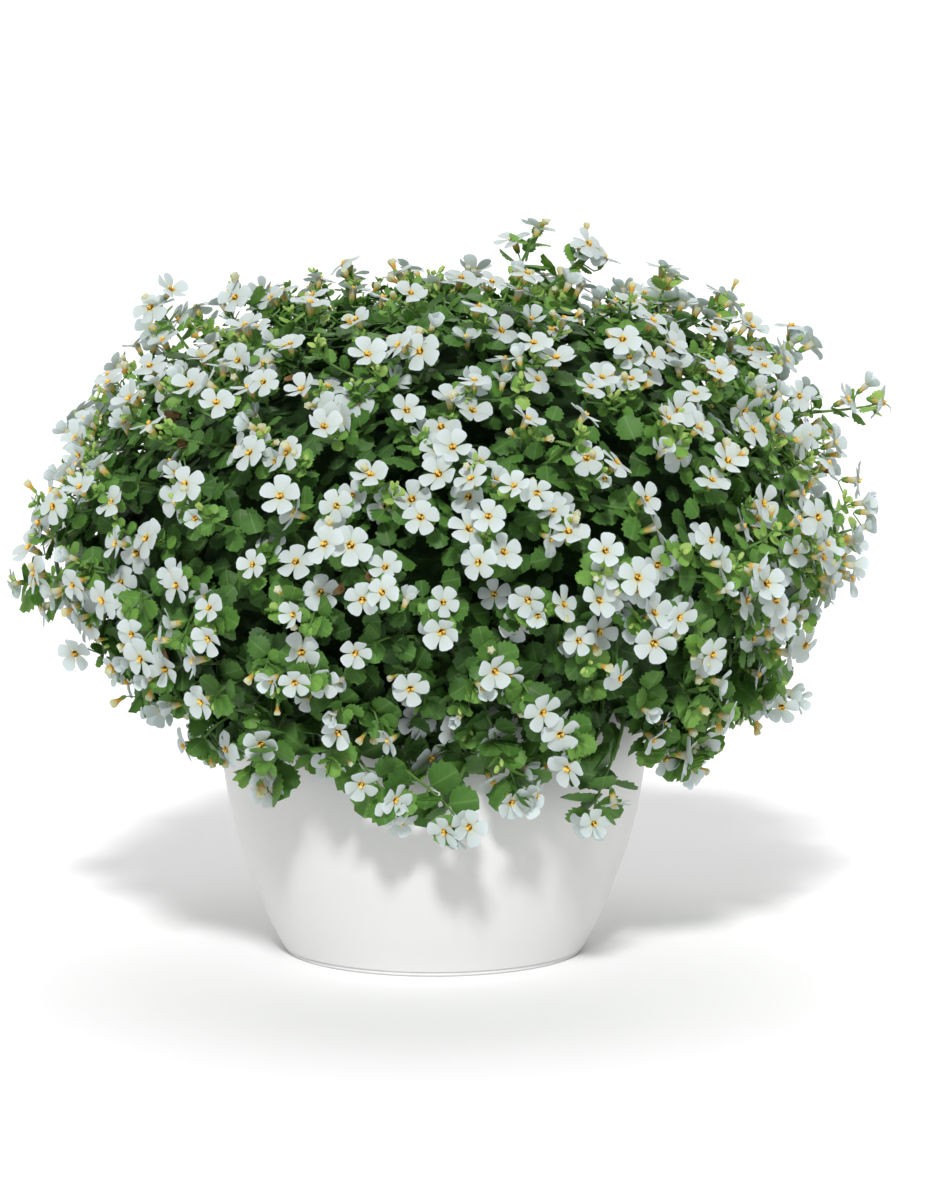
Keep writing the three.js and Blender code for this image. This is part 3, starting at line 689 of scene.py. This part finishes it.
# Painted shade in the fillers' tone: darker the deeper they lie and on the mound's underside, and
# lighter towards the right side; the rest is chance.
filler_tone_and_shade = 0.13 + 1.4 * (filler_depth - FILLER_DEEPEST) + draw.uniform(0, 0.16, FILLER_COUNT)
filler_tone_and_shade = filler_tone_and_shade + np.minimum(0.1 * filler_z, 0) + 0.035 * filler_x
filler_dry = draw.uniform(0, 1, FILLER_COUNT) < FILLER_DRY_SHARE
filler_tone_and_shade = np.where(filler_dry, DRY_TONE, filler_tone_and_shade)
filler_length *= np.where(filler_dry, 0.65, 1)
filler_crown = np.where(filler_dry, DRY_CROWN, draw.uniform(0.12, 0.42, FILLER_COUNT))
filler_droop = draw.uniform(0, 0.25, FILLER_COUNT) + 0.5 * filler_dry

every_leaf = [np.concatenate(both) for both in (
    (leaf_base, filler_base), (leaf_axis, filler_axis), (leaf_face, filler_face),
    (leaf_length, filler_length), (leaf_breadth, filler_breadth), (leaf_crown, filler_crown),
    (leaf_droop, filler_droop), (leaf_tone_and_shade, filler_tone_and_shade),
)]
leaf_teeth = np.concatenate([LEAF_TEETH[leaf_order], np.full(FILLER_COUNT, FILLER_TEETH)])
leaf_stem = np.concatenate([shoot_stem[leaf_shoot], nearest_stem(filler_directions)])


def foliage():
    """Leaf green by tone, from nearly black inside, which is painted shade, to lime at the tips,
    and brown past that, with a pale midrib and slanting side veins."""
    shader = Shader("bacopa_foliage")
    tone, along, across = (shader.painted(name) for name in ("tone", "along", "across"))
    mottle = shader.noise(240.0, 4.0)
    tone = shader.math("ADD", tone, shader.fit(mottle, 0.3, 0.7, -0.05, 0.05))
    colour = shader.shades(tone, [
        (0.0, SHADE_GREEN), (0.22, DARK_GREEN), (0.5, MID_GREEN), (0.75, FRESH_GREEN),
        (1.0, LIME_GREEN),
    ])
    side = shader.math("ABSOLUTE", across)
    back = shader.math("MULTIPLY", side, 1.6)
    slant = shader.math("SUBTRACT", shader.math("MULTIPLY", along, 6.0), back)
    vein = shader.math("ABSOLUTE", shader.math("SUBTRACT", shader.math("FRACT", slant), 0.5))
    vein = shader.fit(vein, 0.08, 0.0, 0.0, 0.12)
    lines = shader.math("MAXIMUM", vein, shader.fit(side, 0.10, 0.02, 0.0, 0.2))
    colour = shader.blend(lines, colour, shader.blend(0.5, colour, PALE_VEIN, "SCREEN"))
    dried = shader.blend(shader.fit(mottle, 0.4, 0.62), DRY_BROWN, DRY_TAN)
    colour = shader.blend(shader.fit(tone, 1.1, 1.2), colour, dried)
    satin = shader.fit(mottle, 0.3, 0.7, 0.44, 0.6)
    dull_inside = shader.fit(tone, 0.04, 0.16, 1, 0)
    shader.finish(colour, shader.math("MAXIMUM", satin, dull_inside), 0.3)
    normal = shader.relief(shader.math("SUBTRACT", mottle, lines), 0.35, 0.0004)
    shader.let_light_through(0.2, shader.blend(0.5, colour, LIT_GREEN), normal)
    return shader.material


LEAF_GREEN = foliage()

# The heart of each stem's share is a lumpy body painted nearly black, which stands in for the shade
# deep inside the mound and closes it. It reaches halfway to the neighbouring stems, and stays under
# all that grows on it.

SHADE_CORE_SHARE = 0.70
SHADE_CORE_UNDERSIDE = 0.62
# Nearly black: painted shade for the inside of the mound.
SHADE_CORE_TONE = 0.02
SHADE_CORE_GAP = 0.0005
SHADE_CORE_PAST_RIM = 0.136


def shade_cores(ring_count, sides):
    """A grid for the body under each stem's leaves: in each way round the stem's direction the
    angle runs out to the plane halfway to the nearest neighbour, or to the mound's lower edge.
    Crossed waves make the upper side lumpy, and the lower side closes it from beneath."""
    grids = []
    shares = np.linspace(0, 1, ring_count)
    for own, heart in zip(stem_directions, hearts):
        others = stem_directions[(stem_directions @ own < 0.999) & (stem_directions @ own > 0.2)]
        level = unit(np.cross(UP, heart))
        rise = np.cross(heart, level)
        angle = np.linspace(0, 2 * np.pi, sides, endpoint=False)[:, None]
        ways = np.cos(angle) * level + np.sin(angle) * rise
        planes = own - others
        closing = -(ways @ planes.T)
        limits = np.where(closing > 1e-6, np.arctan2(planes @ heart, closing), np.pi)
        limit = limits.min(axis=1) - SHADE_CORE_GAP
        edge = from_angles(LOWEST_PLATE - np.pi / 2, np.arctan2(own[1], own[0]))
        below = -(ways @ edge)
        limit = np.minimum(limit, np.where(below > 1e-6, np.arctan2(edge @ heart, below), np.pi))
        turn = shares[:, None, None] * limit[:, None]
        rays = np.cos(turn) * heart + np.sin(turn) * ways
        x, y, z = np.moveaxis(rays, -1, 0)
        lumps = 0.02 * np.sin(31 * x + 5 * z) * np.sin(29 * y + 3) + 0.015 * np.sin(47 * z + 20 * x)
        sideways = np.hypot(x, y) * REACH
        clear = np.where(z < -0.1, SHADE_CORE_PAST_RIM / np.maximum(sideways, 0.05), 0)
        upper = np.maximum((SHADE_CORE_SHARE + lumps) * swell(rays), clear + 0.02)
        under = np.maximum((SHADE_CORE_UNDERSIDE + 0.5 * lumps) * swell(rays), clear)
        grids.append(np.concatenate([place(rays, under), place(rays[::-1], upper[::-1])]))
    return np.array(grids)


shade_core_grids = shade_cores(6, 26)

# The flowers stand on short stalks, where the solids have theirs and in the crooks of the leaves.
# Each has a green cup, a yellow tube, an orange throat and five rounded white petals. Some are
# half open or withered, and cream and tiny green buds stand between them.

BLOOM_COUNT = 850
BLOOM_RADIUS = 0.0103
CLOSEST_BLOOMS = 0.0128
BLOOM_CHOICES = 10
HALF_OPEN_SHARE = 0.16
WITHERED_SHARE = 0.025
WITHERED_OUTERMOST = 0.94
CREAM_BUD_COUNT = 260
GREEN_BUD_COUNT = 480
CUP_TONE = 0.62
PLAIN = {"along": 0.5, "across": 0.0}
POLLEN_DEEP = (0.88, 0.48, 0.04, 1)
POLLEN_PALE = (0.94, 0.68, 0.14, 1)
PETAL_ALONG = np.array([0, 0.06, 0.30, 0.56, 0.80, 0.94, 1])
PETAL_HALF = np.array([0, 0.185, 0.335, 0.435, 0.447, 0.315, 0])
PETAL_CROWN = 0.13
PETAL_THICKNESS = 0.00013


def square_to(way):
    """Two ways square to each one given, and to each other."""
    first = unit(np.cross([0.05, 0.08, 1.0], way))
    return first, np.cross(way, first)


site_facing = unit(outward(site_directions) + np.stack(
    [(chance(site, 1) - 0.5) * 0.9, (chance(site, 2) - 0.5) * 0.9,
     0.12 + (chance(site, 3) - 0.5) * 0.6], axis=-1,
))
site_middle = place(site_directions, site_share)

choices = (shoot_count, BLOOM_CHOICES)
choice_node = draw.integers(1, 6, choices)
choice_side = draw.integers(0, 2, choices)
choice_shoot = np.broadcast_to(np.arange(shoot_count)[:, None], choices)
choice_at = node[choice_shoot, choice_node]
choice_way = node_way[choice_shoot, choice_node]
choice_radial = radial[choice_shoot, choice_node, choice_side]
choice_out = outward(direction_of(choice_at))
leaning = unit(
    choice_radial + 0.5 * choice_way + 0.7 * choice_out + draw.normal(0, 0.2, choice_at.shape)
)
choice_middle = choice_at + leaning * draw.uniform(0.011, 0.017, choices)[..., None]
choice_facing = unit(
    0.5 * leaning + 0.9 * choice_out + draw.normal(0, 0.48, choice_at.shape) + 0.12 * UP
)
choice_middle, choice_facing, choice_at, choice_way, choice_shoot = (
    part.reshape((-1,) + part.shape[2:])
    for part in (choice_middle, choice_facing, choice_at, choice_way, choice_shoot)
)
choice_depth = depth_of(choice_middle)
x, y, z = direction_of(choice_middle).T
patchy = np.sin(13 * x + 2) * np.sin(12 * y + 11 * z)
eagerness = 0.16 * patchy + draw.uniform(0, 1, len(x))
eagerness = eagerness + 0.7 * np.clip(z + 0.25, -0.6, 0) + 0.08 * x
eagerness -= 0.9 * np.clip(z - 0.6, 0, 1)
room = np.array(cad_box) + [[BLOOM_RADIUS], [-BLOOM_RADIUS]]
outside = ((choice_middle < room[0]) | (choice_middle > room[1])).any(axis=-1)
outside |= (choice_depth < 0.85) | ((choice_depth > 1.04) & (kind[choice_shoot] < 2))
eagerness = np.where(outside, -np.inf, eagerness + 0.5 * is_loose[choice_shoot])
taken = list(site_middle)
chosen = []
for candidate in np.argsort(-eagerness):
    if len(taken) == BLOOM_COUNT or outside[candidate]:
        break
    if np.linalg.norm(np.array(taken) - choice_middle[candidate], axis=1).min() > CLOSEST_BLOOMS:
        taken.append(choice_middle[candidate])
        chosen.append(candidate)

loose = np.flatnonzero(is_loose)
loose_low = LOOSE_TIPS[:, 2:] < LOW_TIP
sideways = unit(LOOSE_TIPS * [1, 1, 0])
loose_facing = np.where(loose_low, sideways + 0.2 * straight[loose], straight[loose])
loose_facing = unit(loose_facing + draw.normal(0, 0.3, (len(loose), 3)))
loose_middle = tips[loose] + 0.005 * loose_facing * loose_low
bloom_shoot = np.concatenate([site, choice_shoot[chosen], loose])
bloom_middle = np.concatenate([site_middle, choice_middle[chosen], loose_middle])
facing = np.concatenate([site_facing, choice_facing[chosen], loose_facing])
facing[:, 2] = np.maximum(facing[:, 2], -0.25)
facing = unit(facing)
bloom_root = np.concatenate([node[site, 2], choice_at[chosen], node[loose, 1]])
bloom_way = np.concatenate([node_way[site, 2], choice_way[chosen], node_way[loose, 1]])
bloom_stem = shoot_stem[bloom_shoot]
bloom_total = len(bloom_middle)
half_open = draw.uniform(0, 1, bloom_total) < HALF_OPEN_SHARE
withered = draw.uniform(0, 1, bloom_total) < WITHERED_SHARE
withered &= depth_of(bloom_middle) < WITHERED_OUTERMOST
bloom_opening = np.where(
    half_open, draw.uniform(0.75, 1.15, bloom_total), draw.normal(0.2, 0.17, bloom_total)
)
bloom_opening = np.where(withered, 1.25, bloom_opening)
bloom_radius = BLOOM_RADIUS * draw.uniform(0.84, 1.1, bloom_total)
bloom_radius *= np.where(withered, 0.62, np.where(half_open, 0.84, 1))
bloom_turn = draw.uniform(0, 2 * np.pi, bloom_total)
bloom_foot = bloom_middle - facing * bloom_radius[:, None] * 0.90
blooms = (
    bloom_middle, facing, bloom_radius, bloom_turn, bloom_opening, withered, bloom_root,
    bloom_way, bloom_foot,
)


def petals(middle, facing, radius, turn, opening, fade):
    """Five petals a flower, hinged at the throat by their opening angle, each a little different
    and turned a little about its own axis."""
    count = len(middle)
    theta = turn[:, None] + np.arange(5) * 2 * np.pi / 5 + draw.normal(0, 0.06, (count, 5))
    first, second = square_to(facing)
    radial = np.cos(theta)[..., None] * first[:, None] + np.sin(theta)[..., None] * second[:, None]
    ahead = np.broadcast_to(facing[:, None], radial.shape)
    tilt = (opening[:, None] + draw.normal(0, 0.14, (count, 5)))[..., None]
    axis = np.cos(tilt) * radial + np.sin(tilt) * ahead
    face = np.cos(tilt) * ahead - np.sin(tilt) * radial
    twist = draw.normal(0.12, 0.1, (count, 5, 1))
    face = unit(face + np.tan(twist) * np.cross(axis, face))
    size = radius[:, None, None]
    base = middle[:, None] + size * (0.15 * radial - 0.02 * ahead)
    base, axis, face = (part.reshape(count * 5, 3) for part in (base, axis, face))
    length = (radius[:, None] * 0.86 * draw.uniform(0.92, 1.06, (count, 5))).ravel()
    closed = np.repeat(np.clip(opening / 1.1, 0, 1), 5)
    grid = blades(
        (PETAL_ALONG, PETAL_HALF), base, axis, face, length, 1.06 - 0.2 * closed,
        np.full(count * 5, PETAL_CROWN), 0.10 - 0.30 * closed, draw.uniform(0, 1, count * 5),
        PETAL_THICKNESS,
    )
    reach = (0.32 + 0.68 * PETAL_ALONG) * (1 - 0.85 * np.repeat(fade, 5)[:, None])
    return bodies(grid, reach=reach[:, :, None])


def rings_about(middle, facing, size, sides, out, ahead):
    """Rings of points round the way that each one faces: the points of a row lie out from that
    way, and ahead along it, by their own shares of the size."""
    first, second = square_to(facing)
    angle = np.arange(sides)[:, None] * 2 * np.pi / sides
    ring = np.cos(angle) * first[:, None] + np.sin(angle) * second[:, None]
    return middle[:, None, None] + size[:, None, None, None] * (
        out[..., None] * ring[:, None] + ahead[..., None] * facing[:, None, None]
    )


def funnels(middle, facing, radius):
    """The corollas' tubes, six-sided: from the bottom of the throat out to its mouth and back
    down the outside to a narrow foot."""
    out = np.array([0, 0.09, 0.18, 0.245, 0.18, 0.095, 0])[:, None]
    ahead = np.array([-0.30, -0.28, 0.0, -0.06, -0.42, -0.84, -0.86])[:, None]
    paint = np.array([0.0, 0.05, 0.20, 0.44, 0.30, 0.24, 0.235])[:, None]
    return bodies(rings_about(middle, facing, radius, 6, out, ahead), reach=paint)


def anthers(middle, facing, radius, turn):
    """Two yellow knots in the mouth of each throat, three-sided and narrowed at both ends."""
    first, second = square_to(facing)
    aside = np.cos(turn)[:, None] * first + np.sin(turn)[:, None] * second
    made = []
    for side in (-1, 1):
        heart = middle + radius[:, None] * (0.088 * side * aside + 0.05 * facing)
        path = heart[:, None] + radius[:, None, None] * np.array([-0.09, 0, 0.09])[:, None] * (
            facing + 0.6 * side * aside
        )[:, None]
        made.append(tubes(path, radius[:, None] * np.array([0.04, 0.105, 0.04]), 3))
    return joined(made)


def cups(middle, facing, radius):
    """Green cups round the foot of the tubes: ten sides whose rim is drawn out to five points."""
    side = np.arange(10) % 2
    out = np.array([(0, 0), (0.12, 0.12), (0.2, 0.13), (0, 0)])[:, side]
    ahead = np.array([(-0.92, -0.92), (-0.83, -0.83), (-0.50, -0.67), (-0.71, -0.71)])[:, side]
    grid = rings_about(middle, facing, radius, 10, out, ahead)
    return bodies(grid, tone=CUP_TONE, along=0.5, across=0.4)


def stalks(root, way, foot, facing, radius, tone):
    """Flower stalks: a cubic curve from the shoot, along it at first, to the foot from behind."""
    gap = np.linalg.norm(foot - root, axis=-1)[:, None]
    curve = (root, root + way * gap * 0.35, foot - facing * gap * 0.35, foot)
    paths = bezier(curve, np.linspace(0, 1, 5)[:, None])
    return tubes(paths, radius, 3, tone=tone, **PLAIN)


def buds(foot, facing, size, profile, sides, tone):
    """Egg-shaped green buds: a row of rings along the way that each one points."""
    steps = np.linspace(0, 1, len(profile))
    paths = foot[:, None] + facing[:, None] * steps[:, None] * size[:, None, None] * 2.8
    return tubes(paths, size[:, None] * profile, sides, tone=tone, **PLAIN)


def cream_clubs(foot, facing, size):
    """Flowers still closed: ten-sided clubs, widest near the end, where every second side is drawn
    in between the five folded petals and the middle is sunk."""
    fold = np.array([0, 0, 0.1, 0.3, 0.36, 0])[:, None] * (np.arange(10) % 2)
    out = np.array([0, 0.30, 0.50, 0.98, 0.82, 0])[:, None] * (1 - fold)
    ahead = np.array([0, 0, 1.3, 2.4, 3.0, 2.8])[:, None]
    paint = np.array([0.22, 0.22, 0.245, 0.36, 0.385, 0.36])[:, None]
    return bodies(rings_about(foot, facing, size, 10, out, ahead), reach=paint)


def bud_rows(count, highest, distances, sizes):
    """Buds in the crooks of the upper leaves of shoots drawn by chance: the stem of each, its
    node, the way of the shoot there, its foot, the way it points and its size."""
    shoots = draw.integers(0, shoot_count, count)
    distance = draw.uniform(*distances, count)
    order = draw.integers(0, highest, count)
    side = draw.integers(0, 2, count)
    at, way = node[shoots, order], node_way[shoots, order]
    leaning = unit(radial[shoots, order, side] + 0.8 * way + draw.normal(0, 0.3, at.shape))
    foot = at + leaning * distance[:, None]
    size = draw.uniform(*sizes, count)
    return shoot_stem[shoots], (at, way, foot, unit(leaning + 0.6 * way), size)


cream_bud_stem, cream_buds = bud_rows(CREAM_BUD_COUNT, 3, (0.006, 0.010), (0.0019, 0.0028))
green_bud_stem, green_buds = bud_rows(GREEN_BUD_COUNT, 2, (0.002, 0.006), (0.0010, 0.0016))


def corolla_skin():
    """By reach from the throat: dark inside, orange, yellow, cream and then white petals."""
    shader = Shader("bacopa_corolla")
    reach = shader.painted("reach")
    cloud = shader.noise(420.0, 3.0)
    reach = shader.math("ADD", reach, shader.fit(cloud, 0.3, 0.7, -0.03, 0.03))
    colour = shader.shades(reach, [
        (0.0, (0.10, 0.05, 0.018)), (0.10, (0.30, 0.14, 0.03)), (0.18, (0.72, 0.35, 0.035)),
        (0.27, (0.86, 0.55, 0.11)), (0.345, (0.80, 0.81, 0.50)), (0.42, (0.755, 0.815, 0.78)),
        (1.0, (0.81, 0.875, 0.895)),
    ])
    shader.finish(colour, 0.6, 0.25)
    normal = shader.relief(cloud, 0.25, 0.0004)
    shader.let_light_through(0.48, colour, normal)
    return shader.material


def anther_yellow():
    """Two deep yellows, mealy by a very fine noise."""
    shader = Shader("anther_yellow")
    grain = shader.noise(2600.0, 2.0)
    shader.finish(shader.blend(shader.fit(grain, 0.35, 0.65), POLLEN_DEEP, POLLEN_PALE), 0.7)
    shader.relief(grain, 0.4, 0.0001)
    return shader.material


PETAL_WHITE = corolla_skin()

# Each stem's growth is put together: the stem, its shade core painted nearly black, shoots, leaves,
# cups and green buds are one green piece, and its petals, tubes and cream buds one white piece. The
# anthers of all the flowers are one more. What hangs over the rim is kept clear of the pot.

POT_SKIN = np.array(POT_BEAD + POT_SIDE + POT_RIM[:5]) / 1000
POT_SKIN_GAP = 0.0012
POT_CLEAR_HEIGHT = 0.2165
BOX_MARGIN = 0.0004
STALK_RADIUS = 0.00045
BUD_STALK_RADIUS = 0.0004
STEM_TONE = 0.46
STALK_TONE = 0.52
BUD_STALK_TONE = 0.55
BUD_CUP_TONE = 0.75
GREEN_BUD_TONE = 0.93
BUD_CUP_PROFILE = np.array([0.5, 0.95, 0.95, 0.6])
GREEN_BUD_PROFILE = np.array([0.6, 1, 0.6])


def dressed(parts):
    """One batch from a stem's parts. What hangs over the rim is pressed out to the pot's skin:
    below the rim no point stays nearer the axis than the pot's radius at its height and a little
    more. What reaches past the box of the solids is pressed back to it."""
    batch = joined(parts)
    points = batch["points"]
    radius = np.hypot(points[:, 0], points[:, 1])
    skin = np.interp(points[:, 2], POT_SKIN[:, 1], POT_SKIN[:, 0]) + POT_SKIN_GAP
    outer = (points[:, 2] < POT_CLEAR_HEIGHT) & (radius < skin)
    scale = np.where(outer, skin / np.maximum(radius, 1e-6), 1)
    points = points * np.stack([scale, scale, np.ones_like(scale)], axis=-1)
    batch["points"] = np.clip(points, *(np.array(cad_box) + [[BOX_MARGIN], [-BOX_MARGIN]]))
    return batch


def picked(choice, rows):
    """The same choice from each of several rows."""
    return [row[choice] for row in rows]


for stem in range(STEM_COUNT):
    bloom = picked(bloom_stem == stem, blooms)
    cream = picked(cream_bud_stem == stem, cream_buds)
    tiny = picked(green_bud_stem == stem, green_buds)
    foot, front, size = cream[2:]
    cup_size = size * 0.5
    green = dressed([
        # The shade core, whose nearly black tone is painted shade.
        bodies(shade_core_grids[stem:stem + 1], tone=SHADE_CORE_TONE, along=0.5, across=0.5),
        tubes(shoot_paths[shoot_stem == stem], shoot_radii, 5, tone=STEM_TONE, **PLAIN),
        *(
            leaves(*picked((leaf_stem == stem) & (leaf_teeth == teeth), every_leaf), teeth)
            for teeth in (3, 5, 4)
        ),
        cups(*bloom[:3]),
        stalks(*bloom[6:], bloom[1], STALK_RADIUS, STALK_TONE),
        stalks(*cream[:4], BUD_STALK_RADIUS, BUD_STALK_TONE),
        buds(foot - front * cup_size[:, None], front, cup_size, BUD_CUP_PROFILE, 6, BUD_CUP_TONE),
        stalks(*tiny[:4], BUD_STALK_RADIUS, BUD_STALK_TONE),
        buds(*tiny[2:], GREEN_BUD_PROFILE, 5, GREEN_BUD_TONE),
    ])
    main_stem = tubes(stem_paths[stem][None], stem_radii, 7, tone=STEM_TONE, **PLAIN)
    number = f"{stem + 1:02d}"
    both = joined([main_stem, green])
    leafy_piece = mesh_object(f"leafy_shoots_{number}", both, 50, LEAF_GREEN)
    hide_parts(f"leafy_stem_{number}")
    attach(leafy_piece, "root")

    white = dressed([petals(*bloom[:6]), funnels(*bloom[:3]), cream_clubs(*cream[2:])])
    flowers = mesh_object(f"flowers_{number}", white, 60, PETAL_WHITE)
    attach(flowers, "root")

pollen = dressed([anthers(*picked(~withered, blooms[:4]))])
yellow = mesh_object("flower_anthers", pollen, 60, anther_yellow())
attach(yellow, "root")

# The pot stands on a plain pale studio floor, in soft light from a far lamp high up behind the
# camera, a wider and weaker one high up at the back, and an even white surround. The camera looks
# slightly down at it from in front.

CAMERA_TARGET = Vector((0.016, 0, 0.194))
CAMERA_DISTANCE = 3.0
CAMERA_ELEVATION = np.radians(8)
PICTURE_HEIGHT = 0.66
SENSOR_HEIGHT = 36
FLOOR_REACH = 30.0
FLOOR_GREY = (0.96, 0.96, 0.96, 1)
FLOOR_WHITE = (0.98, 0.98, 0.98, 1)
SURROUND_STRENGTH = 0.42

floor_shader = Shader("pale_floor")
floor_tone = floor_shader.fit(floor_shader.noise(2.0, 2.0), 0.3, 0.7)
floor_shader.finish(floor_shader.blend(floor_tone, FLOOR_GREY, FLOOR_WHITE), 0.9)
floor = mesh_object("studio_floor", {
    "points": FLOOR_REACH * np.array([(-1, -1, 0), (1, -1, 0), (1, 1, 0), (-1, 1, 0)]),
    "quads": np.array([(0, 1, 2, 3)]),
    "fans": np.zeros((0, 3), int),
}, 30, floor_shader.material)

world = bpy.data.worlds.new("studio_surround")
world.use_nodes = True
surround = world.node_tree.nodes["Background"].inputs
surround["Color"].default_value = (1.0, 1.0, 1.0, 1)
surround["Strength"].default_value = SURROUND_STRENGTH
bpy.context.scene.world = world

for name, energy, angle, way in (
    ("key_lamp", 2.45, 7, (0.03, 0.76, -0.62)),
    ("back_lamp", 1.25, 70, (-0.05, -0.55, -0.80)),
):
    light = bpy.data.lights.new(name, "SUN")
    light.energy = energy
    light.angle = np.radians(angle)
    lamp = bpy.data.objects.new(name, light)
    lamp.rotation_euler = Vector(way).to_track_quat("-Z", "Y").to_euler()
    bpy.context.scene.collection.objects.link(lamp)

camera_data = bpy.data.cameras.new("photo_camera")
camera_data.sensor_fit = "VERTICAL"
camera_data.sensor_height = SENSOR_HEIGHT
camera_data.lens = SENSOR_HEIGHT * CAMERA_DISTANCE / PICTURE_HEIGHT
camera = bpy.data.objects.new("photo_camera", camera_data)
camera.location = CAMERA_TARGET + CAMERA_DISTANCE * Vector(
    (0, -np.cos(CAMERA_ELEVATION), np.sin(CAMERA_ELEVATION))
)
camera.rotation_euler = (CAMERA_TARGET - camera.location).to_track_quat("-Z", "Y").to_euler()
bpy.context.scene.collection.objects.link(camera)
bpy.context.scene.camera = camera
bpy.context.scene.view_settings.view_transform = "Standard"
